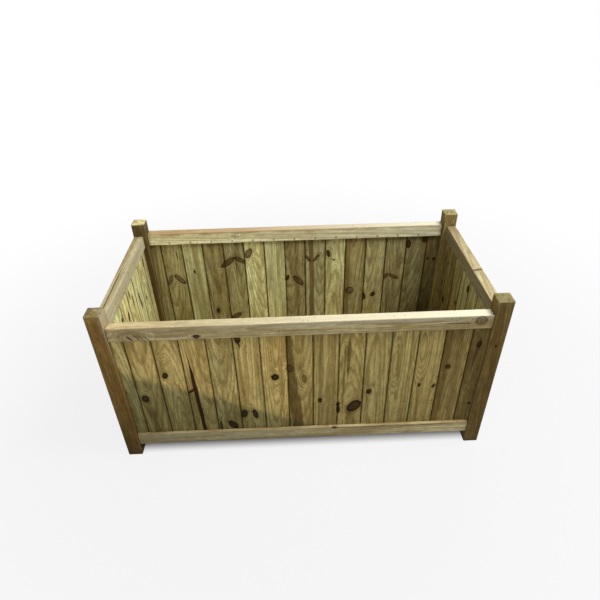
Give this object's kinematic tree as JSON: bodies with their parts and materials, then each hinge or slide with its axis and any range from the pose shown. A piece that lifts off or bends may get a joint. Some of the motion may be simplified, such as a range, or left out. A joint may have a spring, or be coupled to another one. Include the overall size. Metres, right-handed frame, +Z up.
{
  "type": "rectangular planter",
  "caption": "Rectangular timber planter: square corner posts with bevelled tops, grooved rails, upright V-jointed board walls and a slatted floor.",
  "frame": {"origin": "on the ground, under the middle of the planter", "axes": "+X along the planter's length, to the right seen from the front; +Y from front to back; +Z up"},
  "size_m": [1.2, 0.6, 0.6],
  "materials": {
    "post_timber": "planed, treated softwood",
    "rail_timber": "planed, treated softwood",
    "board_timber": "planed, treated softwood",
    "floor_timber": "sawn, treated softwood",
    "plated_steel": "zinc plated"
  },
  "bodies": {
    "root": {"back_board_01": "board_timber", "back_board_02": "board_timber", "back_board_03": "board_timber", "back_board_04": "board_timber", "back_board_05": "board_timber", "back_board_06": "board_timber", "back_board_07": "board_timber", "back_board_08": "board_timber", "back_board_09": "board_timber", "back_board_10": "board_timber", "back_board_11": "board_timber", "back_board_12": "board_timber", "back_board_13": "board_timber", "back_board_14": "board_timber", "back_board_15": "board_timber", "back_bottom_rail": "rail_timber", "back_top_rail": "rail_timber", "bearer_screws": "plated_steel", "floor_bearers": "floor_timber", "floor_slats": "floor_timber", "front_board_01": "board_timber", "front_board_02": "board_timber", "front_board_03": "board_timber", "front_board_04": "board_timber", "front_board_05": "board_timber", "front_board_06": "board_timber", "front_board_07": "board_timber", "front_board_08": "board_timber", "front_board_09": "board_timber", "front_board_10": "board_timber", "front_board_11": "board_timber", "front_board_12": "board_timber", "front_board_13": "board_timber", "front_board_14": "board_timber", "front_board_15": "board_timber", "front_bottom_rail": "rail_timber", "front_top_rail": "rail_timber", "left_board_01": "board_timber", "left_board_02": "board_timber", "left_board_03": "board_timber", "left_board_04": "board_timber", "left_board_05": "board_timber", "left_board_06": "board_timber", "left_board_07": "board_timber", "left_bottom_rail": "rail_timber", "left_top_rail": "rail_timber", "post_back_left": "post_timber", "post_back_right": "post_timber", "post_front_left": "post_timber", "post_front_right": "post_timber", "right_board_01": "board_timber", "right_board_02": "board_timber", "right_board_03": "board_timber", "right_board_04": "board_timber", "right_board_05": "board_timber", "right_board_06": "board_timber", "right_board_07": "board_timber", "right_bottom_rail": "rail_timber", "right_top_rail": "rail_timber", "steel_brads": "plated_steel"}
  },
  "joints": []
}
